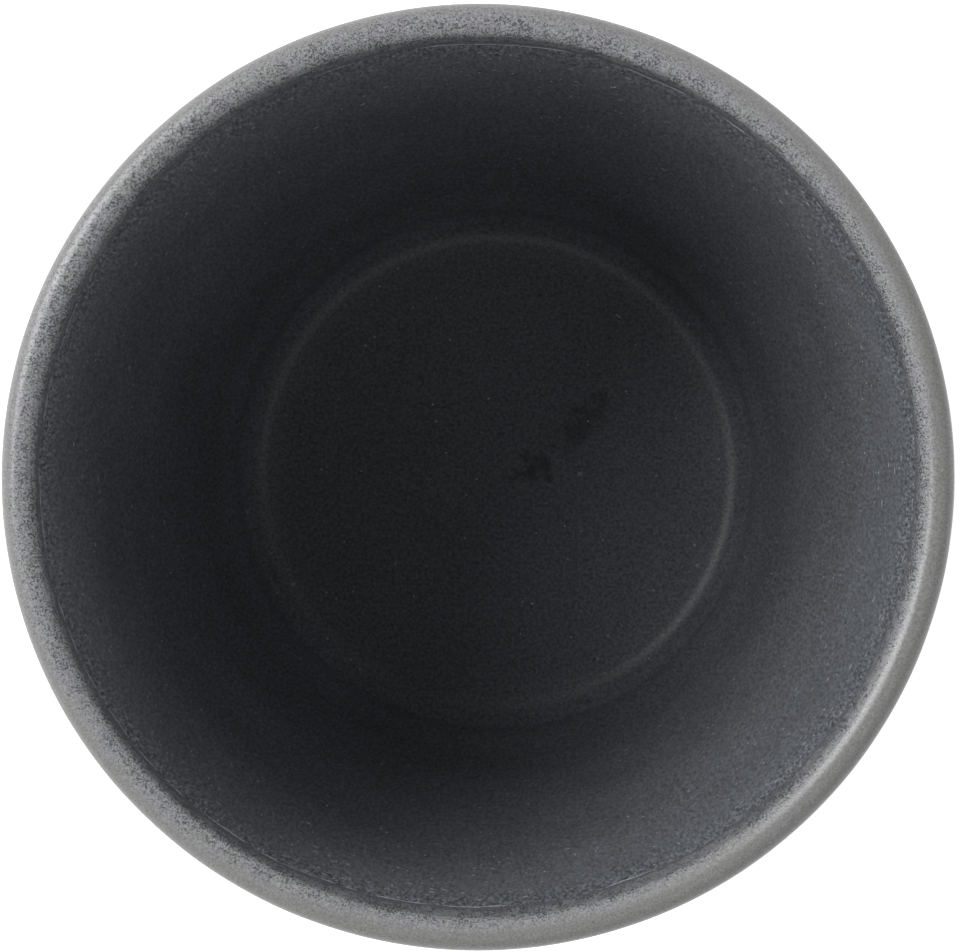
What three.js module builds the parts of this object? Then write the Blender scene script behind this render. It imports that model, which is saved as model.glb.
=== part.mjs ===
// A handleless porcelain beaker: a tapered body with a full round lip, on a turned foot ring. A dark matt
// glaze covers the inside. A thicker grey glaze covers the outside and the lip, and ends in a bead inside the
// mouth. Millimetres, +Z up. The origin is the centre of the foot's resting plane, and Z is the pot's axis.

import * as THREE from 'three';

// Overall sizes, over the glaze
const BEAKER_HEIGHT = 92;
const MOUTH_DIAMETER = 86;
const LIP_THICKNESS = 3.1;
const WALL_BELLY = 0.7; // how far the wall swells out at half its height

// Inside, over the glaze
const FLOOR_DIAMETER = 50.2; // where the line of the wall meets the plane of the floor
const FLOOR_FILLET = 3;

// Base and foot ring, on the bare clay
const FLOOR_THICKNESS = 4.4; // from the well under the pot to the glazed floor
const BASE_WALL = 3.5; // measured level, from the corner of the floor to the corner of the heel
const HEEL_RADIUS = 5.5;
const HEEL_OVERHANG = 6; // from the corner of the heel in to the foot ring
const FOOT_HEIGHT = 2.8; // from the table to the underside of the heel
const FOOT_WIDTH = 3;
const FOOT_EDGE_RADIUS = 0.6;
const FOOT_ROOT_RADIUS = 0.8; // the inside corner between foot ring and heel
const WELL_DEPTH = 2.6; // the hollow inside the foot ring
const WELL_FILLET = 1.2;

// Glaze
const DARK_GLAZE = 0.3;
const GREY_GLAZE_STEP = 0.15; // how much thicker the grey glaze is than the dark one
const GREY_GLAZE_DROP = 3.4; // from the top of the lip down to the end of the grey glaze inside the mouth
const BEAD_WIDTH = 0.5; // the bead that the grey glaze ends in, measured down the wall
const BEAD_RISE = 0.12; // how far the bead stands above the grey glaze
const BEAD_CREST = 0.35; // where the bead is highest, as a share of its width
const BARE_FOOT_HEIGHT = 1; // clay left bare above the table, on both sides of the foot ring

// How finely the round stretches are divided
const TURN_STEPS = 48; // round the axis
const LIP_STEPS = 8;
const WALL_STEPS = 4;
const FILLET_STEPS = 4;
const EDGE_STEPS = 2;
const LEAST_STRAIGHT = 0.1; // what a rounded corner leaves of the shorter line beside it

// What follows from those sizes. Points are (radius, height).
const at = (radius, height) => new THREE.Vector2(radius, height);
const GREY_GLAZE = DARK_GLAZE + GREY_GLAZE_STEP;
const LIP_CENTRE = at((MOUTH_DIAMETER - LIP_THICKNESS) / 2, BEAKER_HEIGHT - LIP_THICKNESS / 2);
const CLAY_LIP_RADIUS = LIP_THICKNESS / 2 - GREY_GLAZE;
const FLOOR_CORNER = at(FLOOR_DIAMETER / 2 + DARK_GLAZE, WELL_DEPTH + FLOOR_THICKNESS - DARK_GLAZE);
const HEEL_CORNER = at(FLOOR_CORNER.x + BASE_WALL, FOOT_HEIGHT);
const FOOT_OUTER_RADIUS = HEEL_CORNER.x - HEEL_OVERHANG;
const FOOT_INNER_RADIUS = FOOT_OUTER_RADIUS - FOOT_WIDTH;

// The lean from the vertical of the line that runs from a corner to touch the lip's circle, on the circle's
// outer side (side 1) or inner side (side -1).
function leanToLip(corner, side) {
  const reach = LIP_CENTRE.clone().sub(corner);
  return Math.atan2(reach.x, reach.y) + side * Math.asin(CLAY_LIP_RADIUS / reach.length());
}

// The arc that rounds the corner between two straight lines, with the wanted radius or as much of it as fits.
function rounded(before, corner, after, wantedRadius, steps) {
  const back = before.clone().sub(corner);
  const ahead = after.clone().sub(corner);
  const room = Math.min(back.length(), ahead.length()) - LEAST_STRAIGHT;
  back.normalize();
  ahead.normalize();
  const halfAngle = Math.acos(back.dot(ahead)) / 2;
  const tangent = Math.min(wantedRadius / Math.tan(halfAngle), room);
  const toCentre = back.clone().add(ahead).normalize();
  const centre = corner.clone().addScaledVector(toCentre, tangent / Math.cos(halfAngle));
  const start = corner.clone().addScaledVector(back, tangent).sub(centre);
  const end = corner.clone().addScaledVector(ahead, tangent).sub(centre);
  const sweep = Math.atan2(start.cross(end), start.dot(end));
  return Array.from({ length: steps + 1 }, (_, i) =>
    start.clone().rotateAround(at(0, 0), (sweep * i) / steps).add(centre));
}

// The points of a wall between its two ends, which are left out, with the belly added level.
function swelling(from, to) {
  return Array.from({ length: WALL_STEPS - 1 }, (_, i) => {
    const share = (i + 1) / WALL_STEPS;
    const swell = (4 * share * (1 - share)) ** 2; // 1 at half height, and level with the line at both ends
    return from.clone().lerp(to, share).add(at(WALL_BELLY * swell, 0));
  });
}

// A line moved square to itself by a distance, away from the clay on its left. Points on the axis stay on it.
function moved(line, distance) {
  return line.map((point, i) => {
    const before = line[Math.max(i - 1, 0)];
    const after = line[Math.min(i + 1, line.length - 1)];
    const arriving = point.clone().sub(before).normalize();
    const leaving = after.clone().sub(point).normalize();
    const along = arriving.clone().add(leaving).normalize();
    const mitre = distance / along.dot(i > 0 ? arriving : leaving);
    return at(point.x === 0 ? 0 : point.x + along.y * mitre, point.y - along.x * mitre);
  });
}

// The clay's outline from the axis under the pot, out, up, over the lip, down inside and back to the axis. It
// comes in stretches, one for each coat and one for the bare foot, and each starts where the last one ends.
function clayOutline() {
  const wellGlazeEnd = at(FOOT_INNER_RADIUS, BARE_FOOT_HEIGHT);
  const outsideGlazeEnd = at(FOOT_OUTER_RADIUS, BARE_FOOT_HEIGHT);
  const wellCentre = at(0, WELL_DEPTH);
  const wellCorner = at(FOOT_INNER_RADIUS, WELL_DEPTH);
  const well = [
    wellCentre,
    ...rounded(wellCentre, wellCorner, wellGlazeEnd, WELL_FILLET, FILLET_STEPS),
    wellGlazeEnd,
  ];

  const footMiddle = at((FOOT_INNER_RADIUS + FOOT_OUTER_RADIUS) / 2, 0);
  const foot = [
    wellGlazeEnd,
    ...rounded(wellGlazeEnd, at(FOOT_INNER_RADIUS, 0), footMiddle, FOOT_EDGE_RADIUS, EDGE_STEPS),
    ...rounded(footMiddle, at(FOOT_OUTER_RADIUS, 0), outsideGlazeEnd, FOOT_EDGE_RADIUS, EDGE_STEPS),
    outsideGlazeEnd,
  ];

  const outerAngle = -leanToLip(HEEL_CORNER, 1);
  const innerAngle = Math.PI - leanToLip(FLOOR_CORNER, -1);
  const lip = Array.from({ length: LIP_STEPS + 1 }, (_, i) => {
    const angle = THREE.MathUtils.lerp(outerAngle, innerAngle, i / LIP_STEPS);
    return at(CLAY_LIP_RADIUS, 0).rotateAround(at(0, 0), angle).add(LIP_CENTRE);
  });
  const lipOutside = lip.at(0);
  const lipInside = lip.at(-1);

  const rootCorner = at(FOOT_OUTER_RADIUS, FOOT_HEIGHT);
  const root = rounded(outsideGlazeEnd, rootCorner, HEEL_CORNER, FOOT_ROOT_RADIUS, EDGE_STEPS);
  const heel = rounded(root.at(-1), HEEL_CORNER, lipOutside, HEEL_RADIUS, FILLET_STEPS);
  const outside = [outsideGlazeEnd, ...root, ...heel, ...swelling(heel.at(-1), lipOutside), lipOutside];

  // The grey glaze ends at one point of the inner wall, and its bead at the next.
  const downWall = FLOOR_CORNER.clone().sub(lipInside).normalize();
  const dropFromLip = lipInside.y - (BEAKER_HEIGHT - GREY_GLAZE_DROP);
  const greyEnd = lipInside.clone().addScaledVector(downWall, dropFromLip / -downWall.y);
  const beadEnd = greyEnd.clone().addScaledVector(downWall, BEAD_WIDTH);
  const rim = [...lip, greyEnd];

  const floorCentre = at(0, FLOOR_CORNER.y);
  const fillet = rounded(lipInside, FLOOR_CORNER, floorCentre, FLOOR_FILLET + DARK_GLAZE, FILLET_STEPS);
  const inside = [greyEnd, beadEnd, ...swelling(beadEnd, fillet[0]), ...fillet, floorCentre];
  return { well, foot, outside, rim, inside };
}

// A solid of revolution about Z. Its profile starts and ends on the axis, or closes on itself.
function turned(profile) {
  return new THREE.LatheGeometry(profile, TURN_STEPS).rotateX(Math.PI / 2);
}

const clay = clayOutline();
const greySurface = moved([...clay.outside, ...clay.rim.slice(1)], GREY_GLAZE);
const outsideSurface = greySurface.slice(0, clay.outside.length);
const rimSurface = greySurface.slice(clay.outside.length - 1);
const insideSurface = moved(clay.inside, DARK_GLAZE);
const wellSurface = moved(clay.well, GREY_GLAZE);

// The fired clay: wall, floor and foot ring in one piece.
function porcelainBody() {
  const { well, foot, outside, rim, inside } = clay;
  return turned([...well, ...foot.slice(1), ...outside.slice(1), ...rim.slice(1), ...inside.slice(1)]);
}

// The dark coat, from the bead down the wall and across the floor.
function insideGlaze() {
  return turned([...clay.inside.toReversed(), ...insideSurface]);
}

// The grey coat, from just above the table to the lip.
function outsideGlaze() {
  return turned([...outsideSurface, ...clay.outside.toReversed(), outsideSurface[0]]);
}

// The grey coat over the lip, where it lies on the dark one and lets it show through.
function rimGlaze() {
  return turned([...rimSurface, ...clay.rim.toReversed(), rimSurface[0]]);
}

// The bead in the corner between the end of the grey coat and the face of the dark one.
function rimGlazeBead() {
  const greyEdge = rimSurface.at(-1);
  const [darkEdge, darkBelow] = insideSurface;
  const intoMouth = greyEdge.clone().sub(clay.rim.at(-1)).normalize();
  const crest = greyEdge.clone().lerp(darkBelow, BEAD_CREST).addScaledVector(intoMouth, BEAD_RISE);
  return turned([greyEdge, crest, darkBelow, darkEdge, greyEdge]);
}

// The grey coat in the well under the pot.
function footWellGlaze() {
  return turned([...wellSurface, ...clay.well.toReversed()]);
}

const PORCELAIN = new THREE.MeshStandardMaterial({ color: '#d8d4cb', roughness: 0.75, metalness: 0 });
const DARK_MATT_GLAZE = new THREE.MeshStandardMaterial({ color: '#55575b', roughness: 0.5, metalness: 0 });
const GREY_SATIN_GLAZE = new THREE.MeshStandardMaterial({ color: '#949492', roughness: 0.4, metalness: 0 });
const SPECKLED_GLAZE = new THREE.MeshStandardMaterial({ color: '#86878a', roughness: 0.35, metalness: 0 });

const beaker = new THREE.Group();
for (const [name, geometry, material] of [
  ['porcelain_body', porcelainBody(), PORCELAIN],
  ['inside_glaze', insideGlaze(), DARK_MATT_GLAZE],
  ['outside_glaze', outsideGlaze(), GREY_SATIN_GLAZE],
  ['rim_glaze', rimGlaze(), SPECKLED_GLAZE],
  ['rim_glaze_bead', rimGlazeBead(), SPECKLED_GLAZE],
  ['foot_well_glaze', footWellGlaze(), GREY_SATIN_GLAZE],
]) {
  const piece = new THREE.Mesh(geometry, material);
  piece.name = name;
  beaker.add(piece);
}

export default beaker;
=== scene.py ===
"""A handleless porcelain beaker: the fired clay, its coats of glaze, the bead, the grains and the specks.

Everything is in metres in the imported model's frame: +Z up, Z the axis of the pot, its foot standing on Z = 0.
Points of an outline are (radius, height), and an outline runs with the clay on its left.
"""

import logging
import math
from dataclasses import dataclass
from enum import Enum, IntEnum

import bmesh
import bpy
import numpy as np
from mathutils import Matrix, Quaternion, Vector, noise


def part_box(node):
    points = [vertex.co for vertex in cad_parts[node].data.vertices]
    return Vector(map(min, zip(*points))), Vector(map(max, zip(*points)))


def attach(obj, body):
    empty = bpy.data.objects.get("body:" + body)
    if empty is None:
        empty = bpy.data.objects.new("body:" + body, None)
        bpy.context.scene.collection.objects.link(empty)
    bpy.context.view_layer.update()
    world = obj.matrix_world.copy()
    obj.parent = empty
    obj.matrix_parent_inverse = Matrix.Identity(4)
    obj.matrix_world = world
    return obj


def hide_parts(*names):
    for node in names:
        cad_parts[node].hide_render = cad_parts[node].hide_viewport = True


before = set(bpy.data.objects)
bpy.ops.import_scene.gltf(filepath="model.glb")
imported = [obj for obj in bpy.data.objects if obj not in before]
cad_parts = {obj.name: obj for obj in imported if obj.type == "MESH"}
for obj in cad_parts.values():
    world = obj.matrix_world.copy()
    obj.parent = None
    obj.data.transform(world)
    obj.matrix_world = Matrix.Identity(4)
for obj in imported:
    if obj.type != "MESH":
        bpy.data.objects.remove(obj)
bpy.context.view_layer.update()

log = logging.getLogger("beaker")

MM = 0.001
BODY = "root"
TURN_STEPS = 480  # round the axis, which is 0.56 mm a step at the mouth
ANGLES = np.arange(TURN_STEPS) * 2 * math.pi / TURN_STEPS
SMOOTH_ANGLE = math.radians(50)
FLOOR_LEVEL = 7 * MM  # the floor inside the pot, for marks on it
CLEAN_LEVEL = 0.74  # the speck level that leaves a coat almost clean
CROWDED_LEVEL = 0.49  # the speck level at which specks cover about a third
DRAW_STEPS = (17.3, 9.1, 31.7)  # how far one draw of the noise lies from the next, in wavelengths

Tree = bpy.types.NodeTree
Socket = bpy.types.NodeSocket
Colour = Socket | tuple[float, ...]

ATTRIBUTE = "ShaderNodeAttribute"
BUMP = "ShaderNodeBump"
MAPPING = "ShaderNodeMapping"
MATH = "ShaderNodeMath"
NOISE = "ShaderNodeTexNoise"
RANGE = "ShaderNodeMapRange"


class Slot(Enum):
    """The record's material slots."""

    PORCELAIN = "porcelain"
    DARK = "dark_glaze"
    GREY = "grey_glaze"
    SPECKLED = "speckled_glaze"


class Mark(Enum):
    """Values that a mesh carries at each point, for its material or its node tree."""

    SPECK_LEVEL = "speck_level"  # on a grey coat: the height of the noise over which a dark speck shows
    THINNING = "thinning"  # on a grey coat: 1 where it runs out over the dark one
    MIST = "mist"  # on the dark coat: 1 next to the grey one, 0 far down
    POOL = "pool"  # on the dark coat: 1 in the corner of the floor, where the glaze gathers
    PAINTED_SHEEN = "settled"  # on the dark coat: 1 low on the wall, where a paler colour is painted sheen
    SCATTER = "scatter"  # how thickly grains or specks lie, from 0 to 1
    BREADTH = "breadth"  # half the bead's breadth


class Ray(Enum):
    """The rays that see the plain background, as Light Path names them."""

    CAMERA = "Is Camera Ray"
    GLOSSY = "Is Glossy Ray"
    TRANSMISSION = "Is Transmission Ray"


class Draw(IntEnum):
    """Which draw of the smooth noise each use takes, so that no two are alike."""

    WALL = 1
    RIM = 2
    EDGE_RIPPLE = 3
    EDGE_TREMOR = 4
    SKIN = 5
    FOOT = 6
    PATCHES = 7
    SMALL_PATCHES = 8
    BEAD = 9
    DRIFT = 10
    LONG_BEAD = 12


# Small helpers


def linear(hex_colour: str) -> tuple[float, float, float, float]:
    """Turns an sRGB hex colour to linear.

    Args:
        hex_colour: Six hex digits after a number sign.

    Returns:
        Linear red, green, blue and an alpha of 1.
    """
    channels = [int(hex_colour[i : i + 2], 16) / 255 for i in (1, 3, 5)]
    return (*[c / 12.92 if c <= 0.04045 else ((c + 0.055) / 1.055) ** 2.4 for c in channels], 1.0)


def add_node(
    tree: Tree, kind: str, inputs: dict[str | int, object] | None = None, output: str | int = 0, **settings: object
) -> Socket | None:
    """Adds a node, sets it up and links it.

    Args:
        tree: The node tree that gets the node.
        kind: The node's type name.
        inputs: For each input, by name or number, a value or the output socket that it is linked to.
        output: The output that is wanted, by name or number.
        settings: The node's own properties.

    Returns:
        That output, through which the node can be reached, or nothing where the node has none.
    """
    node = tree.nodes.new(kind)
    for name, value in settings.items():
        setattr(node, name, value)
    for key, value in (inputs or {}).items():
        if isinstance(value, Socket):
            tree.links.new(value, node.inputs[key])
        else:
            node.inputs[key].default_value = value
    return node.outputs[output] if node.outputs else None


def smooth_step(values: np.ndarray) -> np.ndarray:
    """Eases values from 0 to 1, and holds them there outside."""
    held = np.clip(values, 0.0, 1.0)
    return held * held * (3 - 2 * held)


def noise_at(points: np.ndarray, wavelength: float, draw: Draw) -> np.ndarray:
    """Smooth noise in space.

    Args:
        points: Points in metres, the last axis holding x, y and z.
        wavelength: The size of its features, in metres.
        draw: Which draw of it is used.

    Returns:
        One value for each point, from about -1 to 1.
    """
    shift = Vector([draw * step for step in DRAW_STEPS])
    flat = points.reshape(-1, 3) / wavelength
    return np.array([noise.noise(Vector(p) + shift) for p in flat]).reshape(points.shape[:-1])


def turned_points(outline: np.ndarray) -> np.ndarray:
    """Places outlines round the axis.

    Args:
        outline: Radius and height, with the turn steps on the last axis but one.

    Returns:
        The points' x, y and z.
    """
    radius, height = outline[..., 0], outline[..., 1]
    return np.stack([radius * np.cos(ANGLES), radius * np.sin(ANGLES), height], axis=-1)


def all_round(outline: np.ndarray) -> np.ndarray:
    """Repeats one outline at every turn step, so that it can then differ from step to step."""
    return np.repeat(outline[:, None, :], TURN_STEPS, axis=1)


def run_lengths(rows: np.ndarray) -> np.ndarray:
    """The distance along each turn step's outline, from its first row."""
    steps = np.linalg.norm(np.diff(rows, axis=0), axis=-1)
    return np.concatenate([np.zeros((1, rows.shape[1])), np.cumsum(steps, axis=0)])


def straight(start: np.ndarray, end: np.ndarray, steps: int) -> np.ndarray:
    """Points on a straight line, its start left out and its end kept."""
    shares = np.arange(1, steps + 1)[:, None] / steps
    return start + (end - start) * shares


def rounded(before: np.ndarray, corner: np.ndarray, after: np.ndarray, radius: float, steps: int) -> np.ndarray:
    """The arc that rounds a corner between two straight lines.

    Args:
        before: A point on the line that comes in.
        corner: Where the two lines meet.
        after: A point on the line that goes out.
        radius: The arc's radius.
        steps: How many steps the arc is divided into.

    Returns:
        The arc's points, both ends included.
    """
    back = (before - corner) / np.linalg.norm(before - corner)
    ahead = (after - corner) / np.linalg.norm(after - corner)
    half_angle = math.acos(float(back @ ahead)) / 2
    middle = (back + ahead) / np.linalg.norm(back + ahead)
    centre = corner + middle * radius / math.sin(half_angle)
    start, end = (corner + way * radius / math.tan(half_angle) - centre for way in (back, ahead))
    across = np.array([-start[1], start[0]])
    sweep = math.atan2(start[0] * end[1] - start[1] * end[0], float(start @ end))
    turns = np.arange(steps + 1)[:, None] / steps * sweep
    return centre + (start * np.cos(turns) + across * np.sin(turns))


def lifted(outline: np.ndarray, thickness: np.ndarray) -> np.ndarray:
    """Moves an outline square to itself, to its right and so away from the clay.

    Args:
        outline: Radius and height, rows first.
        thickness: How far each point moves.

    Returns:
        The moved outline. A point on the axis stays on it.
    """
    along = np.gradient(outline, axis=0)
    along /= np.linalg.norm(along, axis=-1, keepdims=True)
    away = np.stack([along[..., 1], -along[..., 0]], axis=-1)
    away[outline[..., 0] == 0] = (0.0, math.copysign(1.0, -float(along[..., 0].flat[0])))
    return outline + away * thickness[..., None]


# The shape of the pot


@dataclass(frozen=True)
class PotSizes:
    """The beaker's sizes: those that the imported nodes' boxes give, then the radii and coats in between."""

    height: float
    mouth_radius: float
    clay_floor: float  # the level of the floor under its glaze
    bare_foot: float  # how high the clay of the foot is left bare
    well_level: float
    well_radius: float
    lip_thickness: float = 3.1 * MM
    belly: float = 0.7 * MM
    floor_radius: float = 25.1 * MM
    floor_fillet: float = 3 * MM
    base_wall: float = 3.5 * MM
    heel_radius: float = 5.5 * MM
    foot_height: float = 2.8 * MM
    foot_width: float = 3 * MM
    foot_edge: float = 0.6 * MM
    foot_root: float = 0.8 * MM
    well_fillet: float = 1.2 * MM
    dark_coat: float = 0.3 * MM
    grey_coat: float = 0.45 * MM

    @classmethod
    def from_frame(cls) -> "PotSizes":
        """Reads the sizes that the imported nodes' boxes give.

        Returns:
            Those sizes, with the radii and coats in between.
        """
        _, rim_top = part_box("rim_glaze")
        inside_bottom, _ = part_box("inside_glaze")
        outside_bottom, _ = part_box("outside_glaze")
        _, well_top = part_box("foot_well_glaze")
        return cls(
            height=rim_top.z,
            mouth_radius=rim_top.x,
            clay_floor=inside_bottom.z,
            bare_foot=outside_bottom.z,
            well_level=well_top.z,
            well_radius=well_top.x,
        )

    @property
    def lip_centre(self) -> np.ndarray:
        """The centre of the round of the lip."""
        return np.array([self.mouth_radius - self.lip_thickness / 2, self.height - self.lip_thickness / 2])

    @property
    def clay_lip_radius(self) -> float:
        """The radius of the lip under its glaze."""
        return self.lip_thickness / 2 - self.grey_coat

    @property
    def floor_corner(self) -> np.ndarray:
        """Where the clay's inner wall would meet its floor."""
        return np.array([self.floor_radius + self.dark_coat, self.clay_floor])

    @property
    def heel_corner(self) -> np.ndarray:
        """Where the clay's outer wall would meet the underside of the heel."""
        return np.array([self.floor_corner[0] + self.base_wall, self.foot_height])

    @property
    def foot_radius(self) -> float:
        """The outer radius of the foot ring."""
        return self.well_radius + self.foot_width

    def lean_to_lip(self, corner: np.ndarray, side: int) -> float:
        """The lean of the line from a corner that touches the lip's round.

        Args:
            corner: Where the line starts.
            side: 1 to touch the round on its outer side, -1 on its inner side.

        Returns:
            The angle from the vertical, in radians.
        """
        reach = self.lip_centre - corner
        return math.atan2(reach[0], reach[1]) + side * math.asin(self.clay_lip_radius / np.linalg.norm(reach))


@dataclass(frozen=True)
class WallRun:
    """One face of the clay's wall, straight but for its belly, which starts level with the line at both ends."""

    start: np.ndarray
    end: np.ndarray
    belly: float
    step: float = 1.3 * MM

    @property
    def length(self) -> float:
        """The straight distance between the ends."""
        return float(np.linalg.norm(self.end - self.start))

    def points(self, distance: np.ndarray) -> np.ndarray:
        """The points of the face.

        Args:
            distance: How far each point lies from the start.

        Returns:
            Their radii and heights.
        """
        share = np.asarray(distance)[..., None] / self.length
        swell = (4 * share * (1 - share)) ** 2
        return self.start + (self.end - self.start) * share + swell * np.array([self.belly, 0.0])

    def even_points(self) -> np.ndarray:
        """The points at even steps, the start left out."""
        steps = round(self.length / self.step)
        return self.points(np.arange(1, steps + 1) / steps * self.length)


class ClayOutline:
    """The clay's outline in its stretches, from the axis under the pot, out, up, over the lip and down inside."""

    FILLET_STEPS = 16
    EDGE_STEPS = 6
    LIP_STEPS = 28
    WELL_EDGE_STEPS = 3
    FLOOR_STEP = 1.5 * MM

    def __init__(self, sizes: PotSizes) -> None:
        """Works out every stretch.

        Args:
            sizes: The beaker's sizes.
        """
        well_corner = np.array([sizes.well_radius, sizes.well_level])
        well_end = np.array([sizes.well_radius, sizes.bare_foot])
        foot_end = np.array([sizes.foot_radius, sizes.bare_foot])
        foot_middle = np.array([sizes.well_radius + sizes.foot_width / 2, 0.0])
        inner_foot, outer_foot = np.array([sizes.well_radius, 0.0]), np.array([sizes.foot_radius, 0.0])
        inner_edge = rounded(well_end, inner_foot, foot_middle, sizes.foot_edge, self.EDGE_STEPS)
        outer_edge = rounded(foot_middle, outer_foot, foot_end, sizes.foot_edge, self.EDGE_STEPS)
        self.well = self._well(well_corner, well_end, sizes.well_fillet)
        self.foot = np.concatenate([inner_edge, outer_edge, [foot_end]])

        outer_angle = -sizes.lean_to_lip(sizes.heel_corner, 1)
        inner_angle = math.pi - sizes.lean_to_lip(sizes.floor_corner, -1)
        turns = np.linspace(outer_angle, inner_angle, self.LIP_STEPS + 1)
        ring = np.stack([np.cos(turns), np.sin(turns)], axis=-1)
        self.lip = sizes.lip_centre + sizes.clay_lip_radius * ring

        root_corner = np.array([sizes.foot_radius, sizes.foot_height])
        root = rounded(foot_end, root_corner, sizes.heel_corner, sizes.foot_root, self.EDGE_STEPS)
        heel = rounded(root[-1], sizes.heel_corner, self.lip[0], sizes.heel_radius, self.FILLET_STEPS)
        outer_wall = WallRun(heel[-1], self.lip[0], sizes.belly)
        foot_face = straight(foot_end, root[0], self.EDGE_STEPS)[:-1]
        self.outside = np.concatenate([[foot_end], foot_face, root, heel, outer_wall.even_points()])

        fillet_radius = sizes.floor_fillet + sizes.dark_coat
        floor_centre = np.array([0.0, sizes.clay_floor])
        self.floor_fillet = rounded(self.lip[-1], sizes.floor_corner, floor_centre, fillet_radius, self.FILLET_STEPS)
        self.inner_wall = WallRun(self.lip[-1], self.floor_fillet[0], sizes.belly)
        floor_steps = round(self.floor_fillet[-1][0] / self.FLOOR_STEP)
        floor = straight(self.floor_fillet[-1], floor_centre, floor_steps)
        self.inside = np.concatenate([[self.lip[-1]], self.inner_wall.even_points(), self.floor_fillet[1:], floor])

    def _well(self, corner: np.ndarray, end: np.ndarray, radius: float) -> np.ndarray:
        """A level disc from the axis out to a fillet, and on to where the glaze ends.

        Args:
            corner: Where the disc would meet the wall of the hollow.
            end: Where the glaze ends.
            radius: The fillet's radius.

        Returns:
            The points' radii and heights.
        """
        centre = np.array([0.0, corner[1]])
        fillet = rounded(centre, corner, end, radius, self.FILLET_STEPS)
        disc = straight(centre, fillet[0], round(fillet[0][0] / self.FLOOR_STEP))
        return np.concatenate([[centre], disc[:-1], fillet, straight(fillet[-1], end, self.WELL_EDGE_STEPS)])

    @property
    def whole(self) -> np.ndarray:
        """The whole outline of the clay, from axis to axis."""
        return np.concatenate([self.well, self.foot, self.outside[1:], self.lip[1:], self.inside[1:]])


@dataclass(frozen=True)
class FiringWarp:
    """How the fired pot departs from a true turned one: the mouth is a little oval, and walls and rim wander."""

    mouth_radius: float
    height: float
    ovality: float = 0.16 * MM  # how far the mouth's long axis reaches past a true circle
    long_axis: float = math.radians(6)
    wall_wander: float = 0.05 * MM
    rim_wander: float = 0.1 * MM
    wander_length: float = 35 * MM
    upright: float = 0.5  # how fast the wander changes up the wall, beside how fast it does round it
    growth: float = 1.5  # the power with which the warp grows up the wall
    rim_growth: int = 4  # the further power that keeps the rim's wander near the rim

    def bent(self, points: np.ndarray) -> np.ndarray:
        """Moves points with the warp, which grows from nothing at the foot to its full size at the mouth.

        Args:
            points: The points' x, y and z in the true shape.

        Returns:
            Where they lie on the fired pot.
        """
        reach = np.linalg.norm(points[..., :2], axis=-1)
        angle = np.arctan2(points[..., 1], points[..., 0])
        share = np.clip(points[..., 2] / self.height, 0.0, 1.0) ** self.growth
        across, along = np.cos(angle) * self.mouth_radius, np.sin(angle) * self.mouth_radius
        around = np.stack([across, along, points[..., 2] * self.upright], axis=-1)
        out = self.ovality * np.cos(2 * (angle - self.long_axis))
        out = out + self.wall_wander * noise_at(around, self.wander_length, Draw.WALL)
        scale = 1 + out * share / self.mouth_radius
        lift = self.rim_wander * noise_at(around, self.wander_length, Draw.RIM) * share**self.rim_growth
        moved = points * np.stack([scale, scale, np.ones_like(scale)], axis=-1)
        moved[..., 2] += np.where(reach > 0, lift, 0.0)
        return moved


@dataclass(frozen=True)
class GreyEdge:
    """The line inside the mouth where the grey glaze ends. It runs lower on one side, as the pot was dipped."""

    drop: float = 3.55 * MM  # down the clay's inner wall, from where the lip's round ends
    waves: tuple[tuple[int, float, float], ...] = (  # how many go round, how high they are, where one is lowest
        (1, 0.8 * MM, math.radians(-50)),
        (2, 0.78 * MM, math.radians(-77)),
    )
    ripple: float = 0.45 * MM
    ripple_length: float = 8 * MM
    tremor: float = 0.3 * MM
    tremor_length: float = 2.2 * MM

    def distance(self, radius: float) -> np.ndarray:
        """The line's distance down the wall at each turn step.

        Args:
            radius: The radius of the mouth.

        Returns:
            One distance for each turn step.
        """
        ring = turned_points(np.repeat([[radius, 0.0]], TURN_STEPS, axis=0))
        distance = self.drop + sum(high * np.cos(count * (ANGLES - lowest)) for count, high, lowest in self.waves)
        distance += self.ripple * noise_at(ring, self.ripple_length, Draw.EDGE_RIPPLE)
        return distance + self.tremor * noise_at(ring, self.tremor_length, Draw.EDGE_TREMOR)


# Finishes


def mixed(tree: Tree, share: Socket, below: Colour, above: Colour) -> Socket:
    """Mixes two colours.

    Args:
        tree: The material's node tree.
        share: How much of the upper colour shows, from 0 to 1.
        below: The lower colour.
        above: The upper colour.

    Returns:
        The mixed colour.
    """
    return add_node(tree, "ShaderNodeMix", {0: share, 6: below, 7: above}, 2, data_type="RGBA")


def varied(tree: Tree, colour: Colour, pattern: Socket, contrast: float) -> Socket:
    """Turns a colour up and down with a pattern.

    Args:
        tree: The material's node tree.
        colour: The colour.
        pattern: Values round a half.
        contrast: How far the colour goes up and down where the pattern is at 0.75 and 0.25.

    Returns:
        The varied colour.
    """
    levels = {"Value": pattern, "From Min": 0.25, "From Max": 0.75, "To Min": 1 - contrast, "To Max": 1 + contrast}
    turned = add_node(tree, RANGE, levels)
    return add_node(
        tree, "ShaderNodeMix", {0: 1.0, 6: colour, 7: turned}, 2, data_type="RGBA", blend_type="MULTIPLY"
    )


def cleared_tree(owner: bpy.types.Material | bpy.types.World) -> Tree:
    """Gives a material or a world an empty node tree.

    Args:
        owner: The material or the world.

    Returns:
        Its tree.
    """
    owner.use_nodes = True
    owner.node_tree.nodes.clear()
    return owner.node_tree


def new_material(name: str) -> tuple[bpy.types.Material, Tree, Socket]:
    """Makes a material that is empty but for its coordinates.

    Args:
        name: The material's name.

    Returns:
        The material, its node tree and the Object coordinates.
    """
    material = bpy.data.materials.new(name)
    tree = cleared_tree(material)
    return material, tree, add_node(tree, "ShaderNodeTexCoord", output="Object")


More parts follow.
